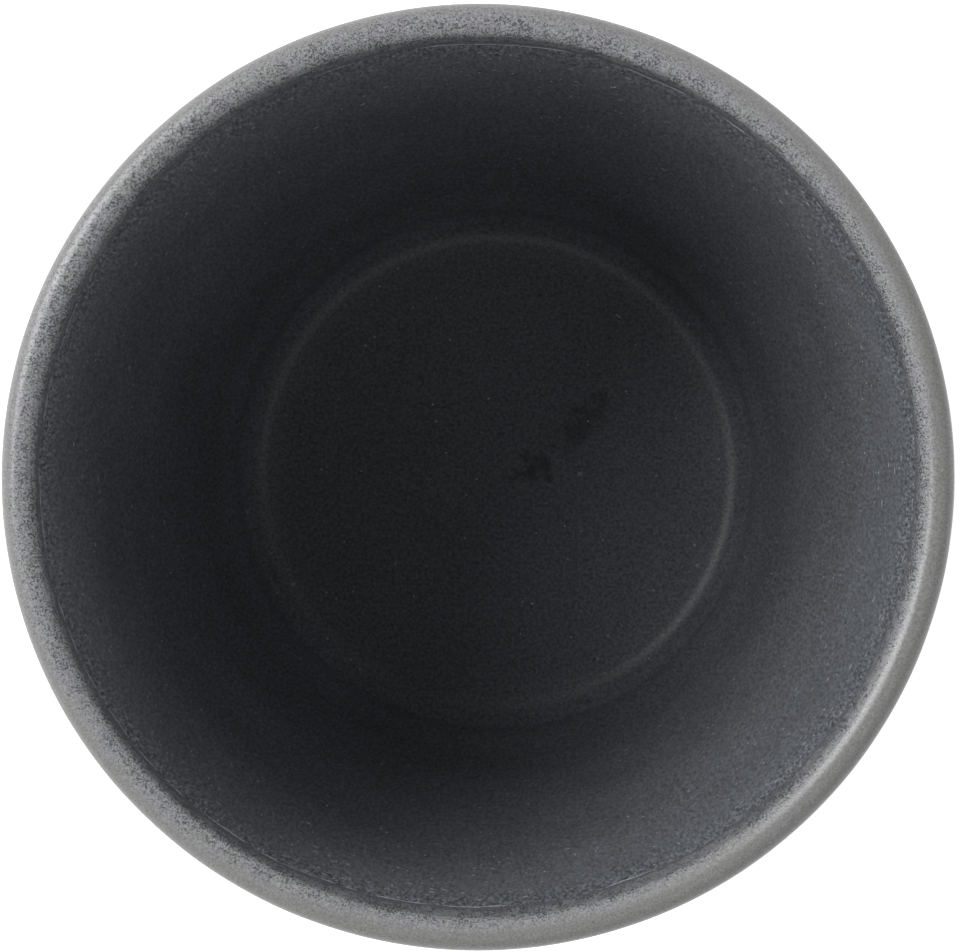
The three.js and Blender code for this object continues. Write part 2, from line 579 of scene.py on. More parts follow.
def close_material(tree: Tree, inputs: dict[str, object]) -> None:
    """Ends a material in a Principled shader with the given inputs."""
    shader = add_node(tree, "ShaderNodeBsdfPrincipled", inputs)
    add_node(tree, "ShaderNodeOutputMaterial", {"Surface": shader})


@dataclass(frozen=True)
class BareClay:
    """Biscuit-fired porcelain, sanded smooth: off-white, dead matt, with a sugary grain."""

    colour: str = "#d9d5cb"
    stain: str = "#b3aa9b"
    most_stained: float = 0.6
    grain: float = 0.25 * MM
    blotch: float = 6 * MM
    grain_height: float = 0.02 * MM
    roughness: float = 0.8
    ior: float = 1.5

    def material(self) -> bpy.types.Material:
        """Makes the material.

        Returns:
            The new material.
        """
        material, tree, place = new_material("biscuit_porcelain")
        grain, blotch = (
            add_node(tree, NOISE, {"Vector": place, "Scale": 1 / size, "Detail": detail})
            for size, detail in ((self.grain, 4.0), (self.blotch, 5.0))
        )
        levels = {"Value": blotch, "From Min": 0.5, "From Max": 0.75, "To Max": self.most_stained}
        stained = add_node(tree, RANGE, levels, interpolation_type="SMOOTHSTEP")
        colour = mixed(tree, stained, linear(self.colour), linear(self.stain))
        bump = add_node(tree, BUMP, {"Height": grain, "Distance": self.grain_height})
        close_material(tree, {"Base Color": colour, "Roughness": self.roughness, "IOR": self.ior, "Normal": bump})
        return material


@dataclass(frozen=True)
class Smudge:
    """A soft dark smudge that a spoon or a finger has left on the floor, longer than it is wide."""

    start: tuple[float, float]
    end: tuple[float, float]
    reach: float  # how far it spreads to each side
    strength: float
    fraying: float = 3.0  # how far noise moves its outline
    full_within: float = -1.3  # with the noise, how far out it keeps its strength, in reaches
    gone_beyond: float = -0.4

    def share(self, tree: Tree, place: Socket, fray: Socket) -> Socket:
        """How much of it shows.

        Args:
            tree: The material's node tree.
            place: The Object coordinates.
            fray: Noise that breaks up its outline.

        Returns:
            Its strength in the middle, falling to 0 outside and above the floor.
        """
        start, end = Vector((*self.start, 0.0)), Vector((*self.end, 0.0))
        along, middle = end - start, (start + end) / 2
        frame_of_smudge = {
            "Vector": place,
            "Location": (middle.x, middle.y, FLOOR_LEVEL),
            "Rotation": (0.0, 0.0, math.atan2(along.y, along.x)),
            "Scale": (self.reach + along.length / 2, self.reach, self.reach),
        }
        local = add_node(tree, MAPPING, frame_of_smudge, vector_type="TEXTURE")
        away = add_node(tree, "ShaderNodeVectorMath", {0: local}, "Value", operation="LENGTH")
        frayed = add_node(tree, MATH, {0: fray, 1: -self.fraying, 2: away}, operation="MULTIPLY_ADD")
        levels = {"From Min": self.full_within, "From Max": self.gone_beyond, "To Min": self.strength, "To Max": 0.0}
        return add_node(tree, RANGE, {"Value": frayed, **levels}, interpolation_type="SMOOTHSTEP")


@dataclass(frozen=True)
class DarkMattGlaze:
    """An anthracite iron and manganese glaze, fired matt. Its skin is silky and even, with a fine grain of tiny
    crystals and pits, and it shines a little more in the corner of the floor, where it gathers."""

    colour: str = "#65686d"
    misted: str = "#6a6d72"
    # a paler colour low on the wall: painted sheen, standing in for the brightening of the steep wall seen at a grazing
    # view
    settled: str = "#74777c"
    smudge: str = "#36373b"
    coarsest_grain: float = 0.3 * MM
    run_stretch: float = 4.0  # how much longer the grain is down the wall than across, as the glaze ran
    cloud: float = 12 * MM
    fray: float = 1.2 * MM
    grain_contrast: float = 0.6  # how far the grain turns the colour up and down
    edge_contrast: float = 0.6  # how much more it does so just under the grey glaze, where its mist lies
    edge_from: float = 0.8  # the mist from which it does
    cloud_contrast: float = 0.12
    grain_height: float = 0.015 * MM
    roughness: float = 0.72
    pooled_roughness: float = 0.41
    ior: float = 1.5
    smudges: tuple[Smudge, ...] = (
        Smudge((3.3 * MM, 0.0), (4.3 * MM, 0.7 * MM), 1.7 * MM, 0.7),
        Smudge((6.4 * MM, 2.9 * MM), (11.2 * MM, 7.5 * MM), 1.9 * MM, 0.5),
    )

    def material(self) -> bpy.types.Material:
        """Makes the material.

        Returns:
            The new material.
        """
        material, tree, place = new_material("dark_matt_glaze")
        mist, pool, settled = (
            add_node(tree, ATTRIBUTE, output="Fac", attribute_name=mark.value)
            for mark in (Mark.MIST, Mark.POOL, Mark.PAINTED_SHEEN)
        )
        run = add_node(tree, MAPPING, {"Vector": place, "Scale": (1.0, 1.0, 1 / self.run_stretch)})
        fine = {"Vector": run, "Scale": 1 / self.coarsest_grain, "Detail": 3.0, "Roughness": 0.6}
        grain = add_node(tree, NOISE, fine)
        cloud, fray = (
            add_node(tree, NOISE, {"Vector": place, "Scale": 1 / size, "Detail": 4.0})
            for size in (self.cloud, self.fray)
        )
        colour = mixed(tree, mist, linear(self.colour), linear(self.misted))
        # Low on the wall the colour turns paler: painted sheen.
        colour = mixed(tree, settled, colour, linear(self.settled))
        for pattern, contrast in ((grain, self.grain_contrast), (cloud, self.cloud_contrast)):
            colour = varied(tree, colour, pattern, contrast)
        near = add_node(tree, RANGE, {"Value": mist, "From Min": self.edge_from, "From Max": 1.0})
        colour = mixed(tree, near, colour, varied(tree, colour, grain, self.edge_contrast))
        for smudge in self.smudges:
            colour = mixed(tree, smudge.share(tree, place, fray), colour, linear(self.smudge))
        rough = add_node(tree, RANGE, {"Value": pool, "To Min": self.roughness, "To Max": self.pooled_roughness})
        bump = add_node(tree, BUMP, {"Height": grain, "Distance": self.grain_height})
        close_material(tree, {"Base Color": colour, "Roughness": rough, "IOR": self.ior, "Normal": bump})
        return material


@dataclass(frozen=True)
class GreySatinGlaze:
    """A grey tin and ash glaze with a satin shine: a clean warm grey outside. Over the lip the dark glaze under it
    breaks through in pinholes and short worms, and tints what lies between them cooler and lighter; the lightness
    is painted light on the lip, reaching furthest out on the key light's side."""

    clean: str = "#898988"
    clouded: str = "#929291"
    # these two colours are lighter than the clean grey: painted light on the lip where the specks crowd
    crowded_and_lit: str = "#9b9c9c"
    crowded_lit_violet: str = "#9c9ca2"
    speck: str = "#4b4d50"
    under: str = "#696c70"
    speck_spacing: float = 0.17 * MM
    speck_cover: float = 0.85  # how much of a speck's own colour shows in it
    soft_edge: float = 0.1  # how far over its level the noise fills a speck
    run_stretch: float = 3.5  # how much longer specks and rags are down the wall than across, as the glaze ran
    cluster: float = 1.1 * MM  # the size of the clear islands between the specks
    clustering: float = 0.3
    fray: float = 0.9 * MM  # the size of the rags in which the coat runs out
    fraying: float = 2.2
    bare_from: float = 0.3  # how far over its middle the noise starts to bare the dark glaze, and bares it fully
    bare_to: float = 0.6
    frost: float = 0.2 * MM
    tint: float = 1.6 * MM
    cloud: float = 8 * MM
    clean_contrast: float = 0.3
    crowded_contrast: float = 0.5
    worn_contrast: float = 0.9
    speck_depth: float = 0.005 * MM
    skin_height: float = 0.008 * MM
    roughness: float = 0.29
    under_roughness: float = 0.6
    ior: float = 1.5

    def material(self) -> bpy.types.Material:
        """Makes the material.

        Returns:
            The new material.
        """
        material, tree, place = new_material("grey_satin_glaze")
        level, thinning = (
            add_node(tree, ATTRIBUTE, output="Fac", attribute_name=mark.value)
            for mark in (Mark.SPECK_LEVEL, Mark.THINNING)
        )
        cloud, frost, tint = (
            add_node(tree, NOISE, {"Vector": place, "Scale": 1 / size, "Detail": detail})
            for size, detail in ((self.cloud, 5.0), (self.frost, 3.0), (self.tint, 2.0))
        )
        run = add_node(tree, MAPPING, {"Vector": place, "Scale": (1.0, 1.0, 1 / self.run_stretch)})
        # Where specks crowd, the colour turns cooler and lighter; the lightness is painted light on the lip.
        crowding_and_light = add_node(tree, RANGE, {"Value": level, "From Min": CLEAN_LEVEL, "From Max": CROWDED_LEVEL})
        violet = add_node(tree, RANGE, {"Value": tint, "From Min": 0.4, "From Max": 0.6})
        crowded_and_lit = mixed(tree, violet, linear(self.crowded_and_lit), linear(self.crowded_lit_violet))
        colour = mixed(tree, cloud, linear(self.clean), linear(self.clouded))
        colour = mixed(tree, crowding_and_light, colour, crowded_and_lit)
        quiet, lively = (varied(tree, colour, frost, share) for share in (self.clean_contrast, self.crowded_contrast))
        colour = mixed(tree, crowding_and_light, quiet, lively)
        specks = self._specks(tree, run, level)
        colour = mixed(tree, specks, colour, linear(self.speck))
        worn = self._worn(tree, run, thinning)
        bare = varied(tree, linear(self.under), frost, self.worn_contrast)
        colour = mixed(tree, worn, colour, bare)
        rough = add_node(tree, RANGE, {"Value": worn, "To Min": self.roughness, "To Max": self.under_roughness})
        skin = add_node(tree, BUMP, {"Height": frost, "Distance": self.skin_height})
        pits = add_node(tree, BUMP, {"Height": specks, "Distance": self.speck_depth, "Normal": skin}, invert=True)
        close_material(tree, {"Base Color": colour, "Roughness": rough, "IOR": self.ior, "Normal": pits})
        return material

    def _worn(self, tree: Tree, run: Socket, thinning: Socket) -> Socket:
        """The rags in which the coat runs out.

        Args:
            tree: The material's node tree.
            run: The Object coordinates, stretched down the wall.
            thinning: How far the coat has thinned, from 0 to 1.

        Returns:
            How much of the dark glaze shows, which is 0 where the coat has its full thickness.
        """
        rags = add_node(tree, NOISE, {"Vector": run, "Scale": 1 / self.fray, "Detail": 5.0, "Roughness": 0.7})
        depth = add_node(tree, MATH, {0: rags, 1: self.fraying, 2: thinning}, operation="MULTIPLY_ADD")
        usual = self.fraying / 2
        levels = {"Value": depth, "From Min": usual + self.bare_from, "From Max": usual + self.bare_to}
        return add_node(tree, RANGE, levels, interpolation_type="SMOOTHSTEP")

    def _specks(self, tree: Tree, run: Socket, level: Socket) -> Socket:
        """The specks where the dark glaze breaks through.

        Args:
            tree: The material's node tree.
            run: The Object coordinates, stretched down the wall.
            level: The height of the noise over which a speck shows.

        Returns:
            Nearly 1 on a speck and 0 between them.
        """
        fine = {"Vector": run, "Scale": 1 / self.speck_spacing, "Detail": 2.0, "Distortion": 0.3}
        worms = add_node(tree, NOISE, fine)
        islands = add_node(tree, NOISE, {"Vector": run, "Scale": 1 / self.cluster, "Detail": 2.0})
        shown = add_node(tree, MATH, {0: islands, 1: self.clustering, 2: worms}, operation="MULTIPLY_ADD")
        over = add_node(tree, MATH, {0: shown, 1: level}, operation="SUBTRACT")
        usual = self.clustering / 2
        levels = {"From Min": usual, "From Max": usual + self.soft_edge, "To Max": self.speck_cover}
        return add_node(tree, RANGE, {"Value": over, **levels}, interpolation_type="SMOOTHSTEP")


@dataclass(frozen=True)
class PlainGrain:
    """A grain in the glaze: a drop of pale mist on the dark coat, or an iron speck in the grey one."""

    name: str
    colour: str
    shade: str
    roughness: float = 0.5
    ior: float = 1.5
    variation: float = 0.4 * MM

    def material(self) -> bpy.types.Material:
        """Makes the material.

        Returns:
            The new material.
        """
        material, tree, place = new_material(self.name)
        change = add_node(tree, NOISE, {"Vector": place, "Scale": 1 / self.variation, "Detail": 2.0})
        share = add_node(tree, RANGE, {"Value": change, "From Min": 0.35, "From Max": 0.65})
        colour = mixed(tree, share, linear(self.colour), linear(self.shade))
        close_material(tree, {"Base Color": colour, "Roughness": self.roughness, "IOR": self.ior})
        return material


# Meshes


def new_mesh(
    name: str,
    points: np.ndarray,
    faces: list[list[int]],
    marks: dict[Mark, np.ndarray],
    edges: list[tuple[int, int]] | None = None,
) -> bpy.types.Mesh:
    """Makes a mesh that carries marks.

    Args:
        name: The mesh's name.
        points: The points' x, y and z.
        faces: The numbers of each face's points.
        marks: Values for each point.
        edges: The numbers of the points of each edge that belongs to no face.

    Returns:
        The new mesh.
    """
    mesh = bpy.data.meshes.new(name)
    mesh.from_pydata(points.reshape(-1, 3).tolist(), edges or [], faces)
    for mark, values in marks.items():
        layer = mesh.attributes.new(mark.value, "FLOAT", "POINT")
        layer.data.foreach_set("value", values.astype(np.float32).ravel())
    return mesh


def link_mesh(name: str, mesh: bpy.types.Mesh) -> bpy.types.Object:
    """Puts a mesh in the scene as an object at the origin.

    Args:
        name: The object's name.
        mesh: Its mesh.

    Returns:
        The new object.
    """
    piece = bpy.data.objects.new(name, mesh)
    bpy.context.scene.collection.objects.link(piece)
    return piece


def faces_between(lower: np.ndarray, upper: np.ndarray) -> list[list[int]]:
    """Joins rings of points to the rings that follow them.

    Args:
        lower: The numbers of the points, a row for each ring.
        upper: The numbers of the points of the rings that follow.

    Returns:
        The corners of each face: three of them where a ring is a single point on the axis, and otherwise four.
    """
    corners = [lower, np.roll(lower, -1, axis=1), np.roll(upper, -1, axis=1), upper]
    return [list(dict.fromkeys(face)) for face in np.stack(corners, axis=-1).reshape(-1, 4).tolist()]


def turned_mesh(name: str, rows: np.ndarray, warp: FiringWarp, marks: dict[Mark, np.ndarray]) -> bpy.types.Object:
    """Makes a closed solid from rows of points round the axis.

    Args:
        name: The piece's name.
        rows: Radius and height for each row and turn step. The rows start and end on the axis, or the last row
            joins the first.
        warp: The pot's warp, applied to every point.
        marks: Values for each row and turn step.

    Returns:
        The new object.
    """
    numbers = np.arange(len(rows) * TURN_STEPS).reshape(len(rows), TURN_STEPS)
    if rows[0, 0, 0] == 0:
        numbers[[0, -1]] = numbers[[0, -1], :1]
        faces = faces_between(numbers[:-1], numbers[1:])
    else:
        faces = faces_between(numbers, np.roll(numbers, -1, axis=0))
    mesh = new_mesh(name, warp.bent(turned_points(rows)), faces, marks)
    drop_loose_points(mesh)
    mesh.shade_smooth()
    mesh.set_sharp_from_angle(angle=SMOOTH_ANGLE)
    return link_mesh(name, mesh)


def drop_loose_points(mesh: bpy.types.Mesh) -> None:
    """Deletes the points that no face uses, which a row on the axis leaves behind.

    Args:
        mesh: The mesh, which is changed.
    """
    work = bmesh.new()
    work.from_mesh(mesh)
    bmesh.ops.delete(work, geom=[v for v in work.verts if not v.link_faces], context="VERTS")
    work.to_mesh(mesh)
    work.free()


def open_sheet(rows: np.ndarray, warp: FiringWarp, scatter: np.ndarray) -> bpy.types.Mesh:
    """Makes the open surface that grains are scattered on.

    Args:
        rows: Radius and height for each row and turn step.
        warp: The pot's warp.
        scatter: How thickly grains lie at each point.

    Returns:
        The new mesh.
    """
    numbers = np.arange(len(rows) * TURN_STEPS).reshape(len(rows), TURN_STEPS)
    faces = faces_between(numbers[:-1], numbers[1:])
    return new_mesh("sheet", warp.bent(turned_points(rows)), faces, {Mark.SCATTER: scatter})


def finish_piece(
    piece: bpy.types.Object, material: bpy.types.Material, slot: Slot, *replaced: str
) -> bpy.types.Object:
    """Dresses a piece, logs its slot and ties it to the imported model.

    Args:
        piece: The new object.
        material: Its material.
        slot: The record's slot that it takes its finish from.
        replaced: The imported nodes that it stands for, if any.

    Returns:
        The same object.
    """
    if not piece.data.materials:
        piece.data.materials.append(material)
    if replaced:
        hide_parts(*replaced)
    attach(piece, BODY)
    log.info("%s: %d faces, %s", piece.name, len(piece.data.polygons), slot.value)
    return piece


# Node trees


def new_node_tree(name: str, inputs: dict[str, str]) -> tuple[Tree, bpy.types.NodeOutputs]:
    """Makes an empty tree of geometry nodes.

    Args:
        name: The tree's name.
        inputs: The type of each named input.

    Returns:
        The tree and the sockets that its inputs come out of.
    """
    tree = bpy.data.node_groups.new(name, "GeometryNodeTree")
    for label, kind in inputs.items():
        tree.interface.new_socket(label, in_out="INPUT", socket_type=f"NodeSocket{kind}")
    tree.interface.new_socket("Geometry", in_out="OUTPUT", socket_type="NodeSocketGeometry")
    return tree, add_node(tree, "NodeGroupInput").node.outputs


def close_node_tree(tree: Tree, shape: Socket, finish: Socket) -> Tree:
    """Smooths a tree's shape, makes its copies real and gives them their material.

    Args:
        tree: The tree of geometry nodes.
        shape: What it has made.
        finish: The material.

    Returns:
        The same tree.
    """
    smooth = add_node(tree, "GeometryNodeSetShadeSmooth", {0: shape})
    real = add_node(tree, "GeometryNodeRealizeInstances", {0: smooth})
    dressed = add_node(tree, "GeometryNodeSetMaterial", {"Geometry": real, "Material": finish})
    add_node(tree, "NodeGroupOutput", {0: dressed})
    return tree


def grown(name: str, carrier: bpy.types.Mesh, tree: Tree, values: dict[str, object]) -> bpy.types.Object:
    """Runs a node tree on a mesh and keeps what it makes as a plain mesh.

    Args:
        name: The new piece's name.
        carrier: The mesh that the tree starts from.
        tree: The tree of geometry nodes.
        values: The tree's inputs by name.

    Returns:
        The new object.
    """
    holder = link_mesh(name + "_carrier", carrier)
    modifier = holder.modifiers.new("nodes", "NODES")
    modifier.node_group = tree
    for item in tree.interface.items_tree:
        if item.in_out == "INPUT" and item.name in values:
            modifier[item.identifier] = values[item.name]
    depsgraph = bpy.context.evaluated_depsgraph_get()
    mesh = bpy.data.meshes.new_from_object(holder.evaluated_get(depsgraph), depsgraph=depsgraph)
    mesh.name = name
    holder.modifiers.remove(modifier)
    bpy.data.objects.remove(holder)
    bpy.data.meshes.remove(carrier)
    return link_mesh(name, mesh)


def scatter_tree() -> Tree:
    """Makes the tree that scatters flat round grains over a surface, each half sunk in it.

    Returns:
        The tree, with inputs for the surface, how thickly they lie, their sizes, seed and material.
    """
    sizes = {"Least Size": "Vector", "Most Size": "Vector"}
    tree, given = new_node_tree(
        "scattered_grains", {"Geometry": "Geometry", "Density": "Float", **sizes, "Seed": "Int", "Material": "Material"}
    )
    share = add_node(tree, "GeometryNodeInputNamedAttribute", {"Name": Mark.SCATTER.value}, data_type="FLOAT")
    density = add_node(tree, MATH, {0: share, 1: given["Density"]}, operation="MULTIPLY")
    spread = {"Mesh": given["Geometry"], "Density": density, "Seed": given["Seed"]}
    spots = add_node(tree, "GeometryNodeDistributePointsOnFaces", spread).node.outputs
    between = {0: given["Least Size"], 1: given["Most Size"], "Seed": given["Seed"]}
    size = add_node(tree, "FunctionNodeRandomValue", between, data_type="FLOAT_VECTOR")
    ball = add_node(tree, "GeometryNodeMeshUVSphere", {"Segments": 8, "Rings": 5, "Radius": 0.5})
    copies = {"Points": spots["Points"], "Instance": ball, "Rotation": spots["Rotation"], "Scale": size}
    grains = add_node(tree, "GeometryNodeInstanceOnPoints", copies)
    return close_node_tree(tree, grains, given["Material"])


def bead_tree() -> Tree:
    """Makes the tree that lays a round bead along a closed line, as broad as the line says at each point.

    Returns:
        The tree, with inputs for the line, the number of the bead's sides and its material.
    """
    tree, given = new_node_tree("laid_bead", {"Geometry": "Geometry", "Sides": "Int", "Material": "Material"})
    line = add_node(tree, "GeometryNodeMeshToCurve", {0: given["Geometry"]})
    breadth = add_node(tree, "GeometryNodeInputNamedAttribute", {"Name": Mark.BREADTH.value}, data_type="FLOAT")
    ring = {"Resolution": given["Sides"], "Radius": 1.0}
    section = add_node(tree, "GeometryNodeCurvePrimitiveCircle", ring, mode="RADIUS")
    bead = add_node(tree, "GeometryNodeCurveToMesh", {"Curve": line, "Profile Curve": section, "Scale": breadth})
    return close_node_tree(tree, bead, given["Material"])


# The pieces


@dataclass(frozen=True)
class Pot:
    """What all the pieces share: the sizes, the clay's outline, the warp and the edge of the grey glaze."""

    sizes: PotSizes
    clay: ClayOutline
    warp: FiringWarp
    edge: GreyEdge

    @classmethod
    def from_frame(cls) -> "Pot":
        """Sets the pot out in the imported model's frame."""
        sizes = PotSizes.from_frame()
        return cls(sizes, ClayOutline(sizes), FiringWarp(sizes.mouth_radius, sizes.height), GreyEdge())

    @property
    def edge_distance(self) -> np.ndarray:
        """How far down the clay's inner wall the grey glaze ends, at each turn step."""
        return self.edge.distance(self.sizes.mouth_radius)


@dataclass(frozen=True)
class ClayBody:
    """The fired clay, in one piece. Only the bottom of its foot ring shows."""

    pot: Pot
    finish: BareClay = BareClay()

    def build(self) -> bpy.types.Object:
        """Builds and dresses the clay."""
        piece = turned_mesh("clay_body", all_round(self.pot.clay.whole), self.pot.warp, {})
        return finish_piece(piece, self.finish.material(), Slot.PORCELAIN, "porcelain_body")


@dataclass(frozen=True)
class ScatteredGrains:
    """Flat round grains on a coat: drops of grey mist on the dark glaze, or iron specks in the grey one."""

    name: str
    slot: Slot
    finish: PlainGrain
    density: float  # to a square metre, where the scatter mark is 1
    least: tuple[float, float]  # the breadth and height of the smallest
    most: tuple[float, float]
    seed: int

    def build(self, surface: np.ndarray, scatter: np.ndarray, warp: FiringWarp) -> bpy.types.Object:
        """Builds and dresses the grains.

        Args:
            surface: The rows of the surface that they lie on.
            scatter: How thickly they lie at each of its points.
            warp: The pot's warp.

        Returns:
            The new object.
        """
        material = self.finish.material()
        values = {"Density": self.density, "Seed": self.seed, "Material": material}
        for label, (breadth, height) in (("Least Size", self.least), ("Most Size", self.most)):
            values[label] = (breadth, breadth, height)
        piece = grown(self.name, open_sheet(surface, warp, scatter), scatter_tree(), values)
        return finish_piece(piece, material, self.slot)


@dataclass(frozen=True)
class GlazeSkin:
    """How the skin of a coat varies: it swells and thins a little, and its free edge is rounded."""

    swell: float = 0.02 * MM
    swell_length: float = 5 * MM
    edge_round: float = 0.5 * MM

    def thickness(self, clay: np.ndarray, coat: float) -> np.ndarray:
        """The coat's thickness at each point.

        Args:
            clay: The rows on the clay.
            coat: The coat's usual thickness.

        Returns:
            One thickness for each row and turn step.
        """
        return coat + self.swell * noise_at(turned_points(clay), self.swell_length, Draw.SKIN)

    def rounding(self, to_edge: np.ndarray) -> np.ndarray:
        """The share of the thickness that a rounded edge leaves.

        Args:
            to_edge: The distance of each point from the edge.

        Returns:
            0 at the edge, rising to 1.
        """
        short = 1 - np.clip(to_edge / self.edge_round, 0.0, 1.0)
        return np.sqrt(1 - short**2)


@dataclass(frozen=True)
class Coat:
    """What the coats of glaze share: the pot that they lie on, and how their skin varies."""

    pot: Pot
    skin: GlazeSkin = GlazeSkin()

    def laid(self, name: str, clay: np.ndarray, surface: np.ndarray, marks: dict[Mark, np.ndarray]) -> bpy.types.Object:
        """Makes the closed coat: its outer surface, and back along the clay.

        Args:
            name: The piece's name.
            clay: The rows on the clay.
            surface: The same rows on the outer surface.
            marks: Values for each row and turn step of the surface.

        Returns:
            The new object.
        """
        ends_on_axis = clay[-1, 0, 0] == 0
        rows = np.concatenate([clay[::-1], surface] if ends_on_axis else [surface, clay[::-1]])
        both = {
            mark: np.concatenate([values[::-1], values] if ends_on_axis else [values, values[::-1]])
            for mark, values in marks.items()
        }
        return turned_mesh(name, rows, self.pot.warp, both)

    def clean_marks(self, clay: np.ndarray) -> dict[Mark, np.ndarray]:
        """The marks of a grey coat that is clean all over."""
        return {Mark.SPECK_LEVEL: np.full(clay.shape[:2], CLEAN_LEVEL), Mark.THINNING: np.zeros(clay.shape[:2])}


@dataclass(frozen=True)
class OutsideCoat(Coat):
    """The grey coat from just above the table, up the heel and the wall, to the lip."""

    foot_wander: float = 0.15 * MM
    wander_length: float = 7 * MM
    specks_from: float = 2 * MM
    specks: ScatteredGrains = ScatteredGrains(
        name="iron_specks",
        slot=Slot.GREY,
        finish=PlainGrain("iron_speck", "#3b3a38", "#57534d", 0.45),
        density=0.012e6,
        least=(0.12 * MM, 0.01 * MM),
        most=(0.45 * MM, 0.02 * MM),
        seed=3,
    )

    def surface(self) -> tuple[np.ndarray, np.ndarray]:
        """Works out the coat.

        Returns:
            The rows on the clay and the rows on the outer surface.
        """
        sizes = self.pot.sizes
        clay = all_round(self.pot.clay.outside)
        foot_face = self.pot.clay.outside[:, 1] < sizes.foot_height - sizes.foot_root
        reach = sizes.foot_height - sizes.foot_root - sizes.bare_foot
        share = 1 - (clay[foot_face, :, 1] - sizes.bare_foot) / reach
        ring = turned_points(clay[0])
        clay[foot_face, :, 1] += share * self.foot_wander * noise_at(ring, self.wander_length, Draw.FOOT)
        thickness = self.skin.thickness(clay, sizes.grey_coat) * self.skin.rounding(run_lengths(clay))
        return clay, lifted(clay, thickness)

    def build(self, material: bpy.types.Material) -> bpy.types.Object:
        """Builds and dresses the coat.

        Args:
            material: The grey glaze.

        Returns:
            The new object.
        """
        clay, surface = self.surface()
        piece = self.laid("grey_outside_coat", clay, surface, self.clean_marks(clay))
        return finish_piece(piece, material, Slot.GREY, "outside_glaze")

    def build_specks(self) -> None:
        """Scatters the iron specks over the outside, clear of the coat's edge at the foot."""
        _, surface = self.surface()
        scatter = np.where(run_lengths(surface) > self.specks_from, 1.0, 0.0)
        self.specks.build(surface, scatter, self.pot.warp)


@dataclass(frozen=True)
class RimCoat(Coat):
    """The grey coat over the lip and down to its wavy edge inside the mouth, on top of the dark coat."""

    wall_steps: int = 20
    wall_crowding: float = 1.7  # the power with which the steps crowd towards the edge
    thinning_run: float = 3.2 * MM
    thinned: float = 0.88  # how far it has thinned out at the edge
    raggedness: float = 0.08  # how much less it has on the two sides where it ends in rags
    raggedest_at: float = math.radians(-45)
    specks_from: float = 1.85 * MM  # how far in from the outer wall they start
    sidedness: float = 0.7 * MM  # how far that changes round the rim
    widest_at: float = math.radians(135)  # the side of the rim where the specks, and the lighter colour that is painted light among them, reach furthest out
    level_at: tuple[float, ...] = (-0.5 * MM, 0.0, 0.5 * MM, 1.7 * MM, 4.2 * MM)  # how far on from that start
    levels: tuple[float, ...] = (CLEAN_LEVEL, 0.6, 0.51, 0.48, 0.45)
    patchiness: float = 0.05
    patch_length: float = 12 * MM
    patches: tuple[tuple[float, float, Draw], ...] = (  # their length as a share of that, and how strong they are
        (1.0, 0.7, Draw.PATCHES),
        (0.25, 0.5, Draw.SMALL_PATCHES),
    )
    edge_height: float = 0.012 * MM  # how far the grey edge stands above the dark coat
    sunk: float = 0.012 * MM  # how far its end is sunk in the dark coat
    end_round: float = 0.9 * MM

    def build(self, material: bpy.types.Material) -> bpy.types.Object:
        """Builds and dresses the coat.

        Args:
            material: The grey glaze.

        Returns:
            The new object.
        """
        sizes = self.pot.sizes
        shares = (1 - (1 - np.arange(1, self.wall_steps + 1) / self.wall_steps) ** self.wall_crowding)[:, None]
        wall = self.pot.clay.inner_wall.points(shares * self.pot.edge_distance[None, :])
        clay = np.concatenate([all_round(self.pot.clay.lip), wall])
        lengths = run_lengths(clay)
        to_edge = lengths[-1] - lengths
        full = self.skin.thickness(clay, sizes.grey_coat)
        edge = sizes.dark_coat + self.edge_height
        thin = edge + (full - edge) * smooth_step(to_edge / self.thinning_run)
        thickness = thin - (self.edge_height + self.sunk) * smooth_step(1 - to_edge / self.end_round)
        thinned = self.thinned - self.raggedness * np.cos(2 * (ANGLES - self.raggedest_at))
        thinning = thinned * (1 - smooth_step(to_edge / self.thinning_run))
        marks = {Mark.SPECK_LEVEL: self._speck_level(clay, lengths), Mark.THINNING: thinning}
        piece = self.laid("grey_rim_coat", clay, lifted(clay, thickness), marks)
        return finish_piece(piece, material, Slot.SPECKLED, "rim_glaze")

    def _speck_level(self, clay: np.ndarray, lengths: np.ndarray) -> np.ndarray:
        """The speck level at each point.

        Args:
            clay: The rows on the clay.
            lengths: How far each point lies from the outer wall.

        Returns:
            One level for each row and turn step.
        """
        start = self.specks_from - self.sidedness * np.cos(ANGLES - self.widest_at)
        level = np.interp(lengths - start, self.level_at, self.levels)
        ring = turned_points(clay)
        patches = sum(noise_at(ring, self.patch_length * size, draw) * high for size, high, draw in self.patches)
        return np.minimum(level + self.patchiness * patches, CLEAN_LEVEL)


